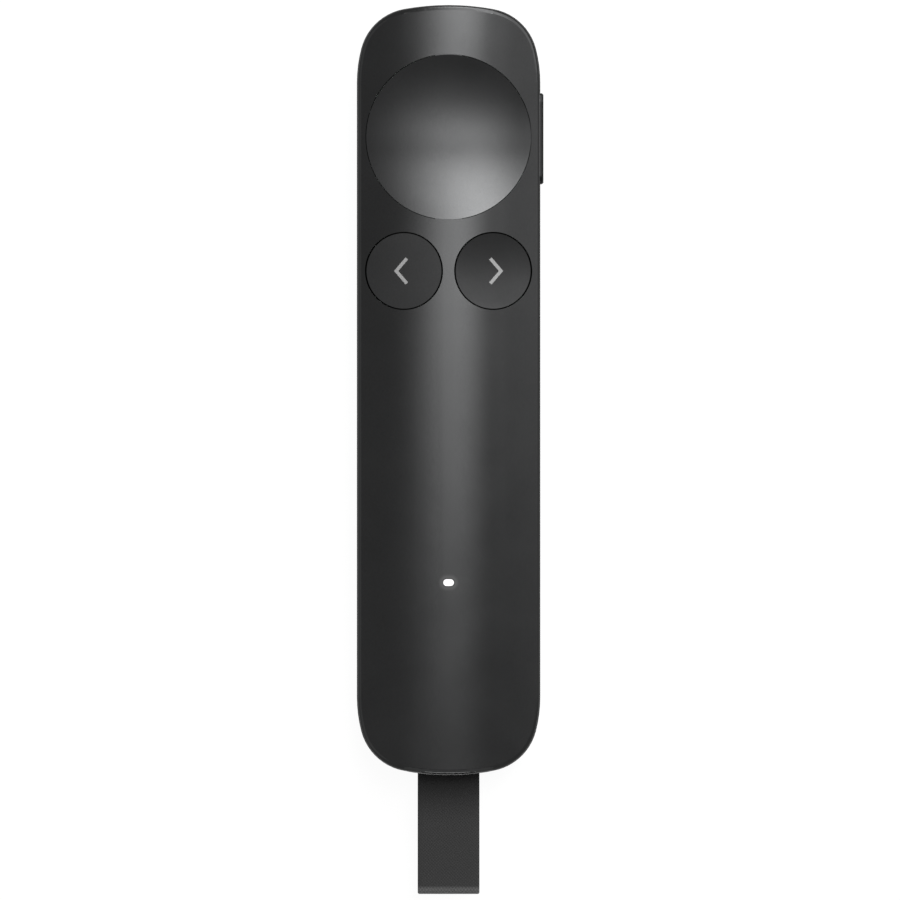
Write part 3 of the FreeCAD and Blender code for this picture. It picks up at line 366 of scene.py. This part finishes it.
def webbing_finish():
    """Woven nylon: ribs over and under, worked out on the band's own length and width; painted
    shade by the cap's mouth and a painted highlight at the fold.
    """
    shades = Shading("webbing_finish", Specular_IOR_Level=0.15)
    threads = shades.parts(shades.node("ShaderNodeUVMap", uv_map="threads").outputs["UV"])
    waves = [shades.math("SINE", shades.product(threads[axis], 2 * math.pi)) for axis in ("X", "Y")]
    weave = shades.span(shades.product(*waves), -1.0, 1.0, 0.0, 1.0)
    fuzz = shades.noise(0.09 * MM, 3.0)
    share = shades.math("ADD", shades.product(weave, WEAVE_SHARE), shades.product(fuzz, FUZZ_SHARE))
    place = shades.parts(shades.position())["Y"]
    # painted shade near the cap's mouth
    mouth_shade = shades.span(place, STRAP_MOUTH - MOUTH_SHADE, STRAP_MOUTH, 1.0, MOUTH_SHADE_LEVEL, smooth=True)
    # painted highlight along the fold
    fold = shades.span(place, STRAP_FOLD + FOLD_BAND[0], STRAP_FOLD + FOLD_BAND[1],
                       FOLD_HIGHLIGHT, 1.0, smooth=True)
    yarn = {0: shades.blend(share, *YARN), "Scale": shades.product(mouth_shade, fold)}
    # yarn colour with the painted shade and painted highlight laid on it
    yarn_with_painted_light = shades.node("ShaderNodeVectorMath", yarn, operation="SCALE")
    shades.set("Base Color", yarn_with_painted_light.outputs[0])
    shades.set("Roughness", shades.drift(fuzz, 0.62, 0.8))
    shades.bump(share, 0.05 * MM, 0.6)
    return shades.material


# Pieces made here

def surface_under(node):
    """A finder of the top of a CAD node, in the frame."""
    mesh = nodes[node].data
    tree = BVHTree.FromPolygons([v.co for v in mesh.vertices], [p.vertices for p in mesh.polygons])
    return lambda x, y: tree.ray_cast(Vector((x, y, 1.0)), Vector((0, 0, -1)))[:2]


def linked(name, shape):
    """Turn a finished bmesh into an object of the scene."""
    bmesh.ops.recalc_face_normals(shape, faces=shape.faces)
    mesh = bpy.data.meshes.new(name)
    shape.to_mesh(mesh)
    shape.free()
    piece = bpy.data.objects.new(name, mesh)
    bpy.context.scene.collection.objects.link(piece)
    return piece


def closed_band(name, rings):
    """A closed mesh through rings of points, first to last and back to the first."""
    shape = bmesh.new()
    made = [[shape.verts.new(point) for point in ring] for ring in rings]
    for ring, after in zip(made, made[1:] + made[:1]):
        for index in range(len(ring)):
            follow = (index + 1) % len(ring)
            face = shape.faces.new((ring[index], ring[follow], after[follow], after[index]))
            face.smooth = True
    return linked(name, shape)


SIGN_HEIGHT = 4.6 * MM
SIGN_STROKE = 0.56 * MM
SIGN_SLANT = math.radians(49.5)
SIGN_TIP = 1.7 * MM
SIGN_RISE, SIGN_SUNK = 0.02 * MM, 0.03 * MM
SIGN_STEPS = 14


def sign(name, node, body, direction):
    """A chevron printed on a key: a mitred stroke that follows the key's face."""
    low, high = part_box(node)
    middle = (low + high) / 2
    top_of = surface_under(node)
    arm = SIGN_HEIGHT / 2 / math.sin(SIGN_SLANT)
    outer_end = Vector((SIGN_TIP - arm * math.cos(SIGN_SLANT), SIGN_HEIGHT / 2))
    inner_end = outer_end - SIGN_STROKE * Vector((math.sin(SIGN_SLANT), math.cos(SIGN_SLANT)))
    corners = ((Vector((SIGN_TIP, 0)), outer_end),
               (Vector((SIGN_TIP - SIGN_STROKE / math.sin(SIGN_SLANT), 0)), inner_end))
    shape = bmesh.new()
    upper, under = [], []
    for step in range(-SIGN_STEPS, SIGN_STEPS + 1):
        for layer, lift in ((upper, SIGN_RISE), (under, -SIGN_SUNK)):
            row = []
            for tip, end in corners:
                flat = tip.lerp(end, abs(step) / SIGN_STEPS)
                side = math.copysign(1, step)
                point, normal = top_of(middle.x + direction * flat.x, middle.y + side * flat.y)
                row.append(shape.verts.new(point + normal * lift))
            layer.append(row)
    for layer in (upper, under):
        for one, two in zip(layer, layer[1:]):
            shape.faces.new((one[0], two[0], two[1], one[1]))
    for edge in (0, 1):
        for index in range(len(upper) - 1):
            shape.faces.new((upper[index][edge], upper[index + 1][edge],
                             under[index + 1][edge], under[index][edge]))
    for end in (0, -1):
        shape.faces.new((*upper[end], *reversed(under[end])))
    piece = linked(name, shape)
    piece.data.materials.append(sign_material)
    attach(piece, body)


STRAP_WIDTH = 10.5 * MM
STRAP_THICK = 0.74 * MM
STRAP_ROUND = 0.3 * MM
STRAP_BOW = 0.22 * MM
THREAD = 0.55 * MM
RUN_STEPS, TURN_STEPS = 90, 18
EDGE_STEPS, FACE_STEPS = 5, 12


def band_section():
    """Points round the band's cross section: across, then through its thickness."""
    edge, face = STRAP_WIDTH / 2 - STRAP_ROUND, STRAP_THICK / 2 - STRAP_ROUND
    points = []
    for corner_x, corner_z, start in ((1, 1, 0), (-1, 1, 1), (-1, -1, 2), (1, -1, 3)):
        for step in range(EDGE_STEPS + 1):
            angle = (start + step / EDGE_STEPS) * math.pi / 2
            points.append((corner_x * edge + STRAP_ROUND * math.cos(angle),
                           corner_z * face + STRAP_ROUND * math.sin(angle)))
        if corner_x == corner_z:
            points += [(corner_x * edge * (1 - 2 * step / FACE_STEPS), corner_z * STRAP_THICK / 2)
                       for step in range(1, FACE_STEPS)]
    return points


def band_turn(middle_y, middle_z, radius, start):
    """Half a round turn: its places, and the way out of the band at each."""
    for step in range(TURN_STEPS):
        angle = start + math.pi * step / TURN_STEPS
        out_y, out_z = math.cos(angle), math.sin(angle)
        yield middle_y + radius * out_y, middle_z + radius * out_z, out_y, out_z


def band_line(low, high):
    """Middle line of the band: upper run, turn at the fold, lower run, turn round the pin."""
    radius = (high.z - low.z) / 2 - STRAP_THICK / 2
    middle_z = (low.z + high.z) / 2
    near_y = high.y - radius - STRAP_THICK / 2
    far_y = low.y + radius + STRAP_THICK / 2
    run = near_y - far_y
    shares = [step / RUN_STEPS for step in range(RUN_STEPS)]
    line = [(near_y - run * share,
             middle_z + radius + STRAP_BOW * math.sin(math.pi * share) ** 2, 0.0, 1.0)
            for share in shares]
    line += band_turn(far_y, middle_z, radius, math.pi / 2)
    line += [(far_y + run * share, middle_z - radius, 0.0, -1.0) for share in shares]
    line += band_turn(near_y, middle_z, radius, -math.pi / 2)
    return line


def map_threads(mesh, lengths, count):
    """Lay the weave on the band: along its length and across it, in threads."""
    thread_map = mesh.uv_layers.new(name="threads")
    for polygon in mesh.polygons:
        rows = [mesh.loops[loop].vertex_index // count for loop in polygon.loop_indices]
        closing = max(rows) - min(rows) > 1
        for loop, row in zip(polygon.loop_indices, rows):
            along = lengths[-1] if closing and row == 0 else lengths[row]
            across = mesh.vertices[mesh.loops[loop].vertex_index].co.x
            thread_map.data[loop].uv = (along / THREAD, across / THREAD)


def pull_tab():
    """The webbing tab: one band looped round the pin in the receiver's cap."""
    line = band_line(*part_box("pull_tab"))
    section = band_section()
    rings = [[Vector((x, y + out * out_y, z + out * out_z)) for x, out in section]
             for y, z, out_y, out_z in line]
    lengths = [0.0]
    for one, two in zip(line, line[1:] + line[:1]):
        lengths.append(lengths[-1] + math.hypot(two[0] - one[0], two[1] - one[1]))
    piece = closed_band("webbing_tab", rings)
    map_threads(piece.data, lengths, len(section))
    piece.data.materials.append(webbing_finish())
    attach(piece, "receiver")
    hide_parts("pull_tab")


# Stage, lights and camera

CAMERA_AIM = Vector((0.24, -10.23, 4.0)) * MM
CAMERA_AWAY = 5.0
VIEW_SPAN = 153.15 * MM
SENSOR = 36.0


def build_camera():
    camera = bpy.data.cameras.new("camera")
    camera.sensor_width = SENSOR
    camera.lens = SENSOR * CAMERA_AWAY / VIEW_SPAN
    camera.clip_end = 2 * CAMERA_AWAY
    holder = bpy.data.objects.new("camera", camera)
    holder.location = CAMERA_AIM + Vector((0, 0, CAMERA_AWAY))
    bpy.context.scene.collection.objects.link(holder)
    bpy.context.scene.camera = holder


SKY = 0.35
FLOOR_RADIUS, FLOOR_SIDES, FLOOR_DROP = 12.0, 96, 0.02 * MM
FLOOR_GREYS, FLOOR_GRAIN = (0.86, 0.9), 0.4
FLOOR_GLOW_SHARE = 0.94


def build_room():
    """A white room, whose walls give less light than they show."""
    world = bpy.data.worlds.new("room")
    bpy.context.scene.world = world
    world.use_nodes = True
    back = world.node_tree.nodes["Background"]
    back.inputs["Color"].default_value = grey(1.0)
    room = Nodes(world.node_tree)
    level = room.span(room.seen_ray(), 0.0, 1.0, SKY, 1.0)
    world.node_tree.links.new(level, back.inputs["Strength"])


def build_floor():
    """A white floor that keeps a soft shadow."""
    bpy.ops.mesh.primitive_circle_add(vertices=FLOOR_SIDES, radius=FLOOR_RADIUS, fill_type="NGON",
                                      location=(0, 0, -FLOOR_DROP))
    floor = bpy.context.object
    floor.name = "floor"
    shades = Shading("floor_finish", Roughness=0.9)
    shades.colour(shades.noise(FLOOR_GRAIN), *(grey(level) for level in FLOOR_GREYS))
    glow = shades.node("ShaderNodeEmission", {"Color": grey(1.0), "Strength": 1.0})
    inputs = {0: shades.product(shades.seen_ray(), FLOOR_GLOW_SHARE),
              1: shades.shader.outputs[0], 2: glow.outputs[0]}
    surface = shades.tree.nodes["Material Output"].inputs["Surface"]
    shades.tree.links.new(shades.node("ShaderNodeMixShader", inputs).outputs[0], surface)
    floor.data.materials.append(shades.material)


class Softbox(Nodes):
    """A rectangular lamp, shaded by the place on its face."""

    def __init__(self, name, middle, across, along, radiance):
        across, along = Vector(across), Vector(along)
        lamp = bpy.data.lights.new(name, "AREA")
        lamp.shape = "RECTANGLE"
        lamp.size, lamp.size_y = across.length, along.length
        lamp.energy = radiance * math.pi * across.length * along.length
        holder = bpy.data.objects.new(name, lamp)
        axes = (across.normalized(), along.normalized(), across.cross(along).normalized())
        holder.matrix_world = Matrix.Translation(middle) @ Matrix(axes).transposed().to_4x4()
        holder.visible_camera = False
        bpy.context.scene.collection.objects.link(holder)
        lamp.use_nodes = True
        super().__init__(lamp.node_tree)
        self.glow = self.tree.nodes["Emission"]
        place = self.parts(self.node("ShaderNodeNewGeometry").outputs["Position"])
        self.x, self.y = place["X"], place["Y"]

    def fade(self, stops):
        """Brightness from tail to head, in straight lines between places and their levels."""
        first, last = stops[0][0], stops[-1][0]
        share = self.math("DIVIDE", self.math("SUBTRACT", self.y, first), last - first)
        ramp = self.node("ShaderNodeValToRGB", {0: share})
        for place, _ in stops[1:-1]:
            ramp.color_ramp.elements.new((place - first) / (last - first))
        for element, (_, level) in zip(ramp.color_ramp.elements, stops):
            element.color = grey(level / PEAK)
        return ramp.outputs["Color"]

    def ridge(self, shift, slant, left_half, right_half):
        """Brightness that falls off to both sides of a line, to its half at the given widths."""
        line = self.math("ADD", self.product(self.y, slant), shift)
        away = self.math("SUBTRACT", self.x, line)
        left = self.math("DIVIDE", self.math("MINIMUM", away, 0.0), left_half)
        right = self.math("DIVIDE", self.math("MAXIMUM", away, 0.0), right_half)
        reach = self.math("ADD", left, right)
        return self.math("EXPONENT", self.product(reach, reach, -math.log(2)))

    def step(self, low, high):
        """From nothing to its whole between two places across the object."""
        return self.span(self.x, low, high, 0.0, 1.0)

    def shade(self, strength):
        self.tree.links.new(strength, self.glow.inputs["Strength"])


RIG_HEIGHT = 0.9
RIG_TAIL, RIG_HEAD = -0.115, 0.35
RIG_LENGTH = RIG_HEAD - RIG_TAIL
RIG_MIDDLE = (RIG_TAIL + RIG_HEAD) / 2
SIDE_LENGTH = 1.3
PEAK = 17.8

# Places from tail to head over the object, and the overhead lamp's level at each
FADE = ((RIG_TAIL, 0.0), (-0.068, 0.85), (-0.05, 1.5), (-0.03, 2.65), (-0.01, 4.3), (0.012, 6.8),
        (0.034, 8.3), (0.066, 6.4), (0.0692, 7.1), (0.074, 7.8), (0.079, 8.5), (0.09, 10.8),
        (0.12, 14.8), (0.163, 17.5), (RIG_HEAD, PEAK))

# Shift and slant of a lamp's bright line, and the widths to its half on the left and right
OVER_RIDGE = (0.036, 0.33, 0.142, 0.124)
HEAD_RIDGE = (0.1, 0.0, 0.16, 0.3)
LINE_RIDGE = (0.08, 0.0, 0.14, 0.2)

# The right lamp's nearer part fades with the overhead one; its outer part is even
NEAR_STEP, NEAR_LEVEL = (0.21, 0.27), 0.2 * PEAK
OUTER_STEP, OUTER_LEVEL = (0.3, 0.42), 0.28

# Middle, edge across, edge along and radiance; a face looks towards across x along
LAMPS = {
    "over_head": ((0, RIG_MIDDLE, RIG_HEIGHT), (1.1, 0, 0), (0, RIG_LENGTH, 0), PEAK),
    "right_side": ((0.555, RIG_TAIL + SIDE_LENGTH / 2, 0.53), (0.69, 0, -0.74),
                   (0, SIDE_LENGTH, 0), 1.0),
    "left_side": ((-0.75, 0.0, 0.48), (0.5, 0, 0.66), (0, 1.0, 0), 0.5),
    "beyond_head": ((0.2, 0.75, 0.6), (0.9, 0, 0), (0, 0.73, -0.83), 7.4),
    "low_head": ((0.1, 1.0, 0.26), (0.5, 0, 0), (0, 0.16, -0.34), 5.0),
    "beyond_tail": ((0.0, -0.75, 0.5), (0.6, 0, 0), (0, 0.55, 0.72), 0.6),
    "low_tail": ((0.0, -1.0, 0.085), (0.3, 0, 0), (0, 0.02, 0.17), 11.0),
    "head_line": ((0.1, 1.0, 0.08), (0.6, 0, 0), (0, 0.02, -0.16), 11.0),
}


def build_lights():
    """A lamp over the head that fades towards the tail, and weaker ones round it."""
    lamps = {name: Softbox(name, *place) for name, place in LAMPS.items()}
    over, right = lamps["over_head"], lamps["right_side"]
    over.shade(over.product(over.fade(FADE), over.ridge(*OVER_RIDGE)))
    near = right.product(right.fade(FADE), NEAR_LEVEL, right.step(*NEAR_STEP))
    outer = right.product(right.step(*OUTER_STEP), OUTER_LEVEL)
    right.shade(right.math("ADD", near, outer))
    for name, line in (("beyond_head", HEAD_RIDGE), ("low_head", HEAD_RIDGE),
                       ("head_line", LINE_RIDGE)):
        lamps[name].shade(lamps[name].ridge(*line))


# The scene

sign_material = sign_finish()
black = grey(0.012)
FINISHES = {
    "top_cover": shell_finish(*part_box("light_pipe")),
    "bottom_cover": base_finish(),
    "pointer_dish": dish_finish(),
    "back_button": key_finish("back_button", lambda shades: shades.leaning("X", *BACK_SHAPE)),
    "next_button": key_finish("next_button", lambda shades: shades.leaning("Y", *NEXT_SHAPE)),
    "side_button": side_finish(),
    "light_pipe": light_finish(),
    "receiver_cap": plastic("cap_finish", grey(0.018), 0.4),
    "receiver_plug": metal("plug_finish", (0.72, 0.71, 0.69, 1.0), 0.26),
    "receiver_tongue": plastic("tongue_finish", grey(0.02), 0.5),
    "receiver_contacts": metal("contact_finish", (0.86, 0.66, 0.3, 1.0), 0.2),
    "strap_pin": metal("pin_finish", (0.6, 0.6, 0.6, 1.0), 0.3, (14, 1, 1)),
    "receiver_dock": plastic("dock_finish", grey(0.03), 0.5),
    "inner_frame": plastic("frame_finish", grey(0.035), 0.55),
    "circuit_board": board_finish(),
    "battery": metal("cell_finish", (0.62, 0.63, 0.65, 1.0), 0.42, (3, 3, 1)),
    "battery_pad": plastic("pad_finish", grey(0.05), 0.9, 0.25 * MM, 0.4, 0.05 * MM),
    "battery_leads": plastic("lead_finish", (0.32, 0.02, 0.02, 1.0), 0.4),
    "battery_connector": plastic("connector_finish", (0.7, 0.67, 0.58, 1.0), 0.45),
    "radio_shield": metal("shield_finish", (0.66, 0.66, 0.64, 1.0), 0.35, (6, 6, 1)),
    "antenna": plastic("antenna_finish", (0.55, 0.53, 0.48, 1.0), 0.4),
    "status_led": plastic("led_finish", (0.8, 0.75, 0.5, 1.0), 0.25),
    "charge_port": metal("port_finish", (0.7, 0.7, 0.7, 1.0), 0.25),
    "charge_port_tongue": plastic("port_tongue_finish", black, 0.45),
    "frame_screws": metal("screw_finish", (0.5, 0.5, 0.5, 1.0), 0.3, (4, 4, 4)),
}
for chip in ("processor_chip", "charger_chip", "motion_sensor"):
    FINISHES[chip] = plastic(f"{chip}_finish", black, 0.4, 0.15 * MM)
for key in ("pointer", "back", "next", "side"):
    FINISHES[f"{key}_switch"] = plastic(f"{key}_switch_finish", grey(0.025), 0.4)
    FINISHES[f"{key}_plunger"] = plastic(f"{key}_plunger_finish", (0.5, 0.36, 0.2, 1.0), 0.4)

for name, finish in FINISHES.items():
    mesh = nodes[name].data
    mesh.materials.clear()
    mesh.materials.append(finish)

bpy.context.scene.view_settings.view_transform = "Standard"
build_camera()
build_room()
build_floor()
build_lights()
sign("back_sign", "back_button", "back_key", -1)
sign("next_sign", "next_button", "next_key", 1)
pull_tab()
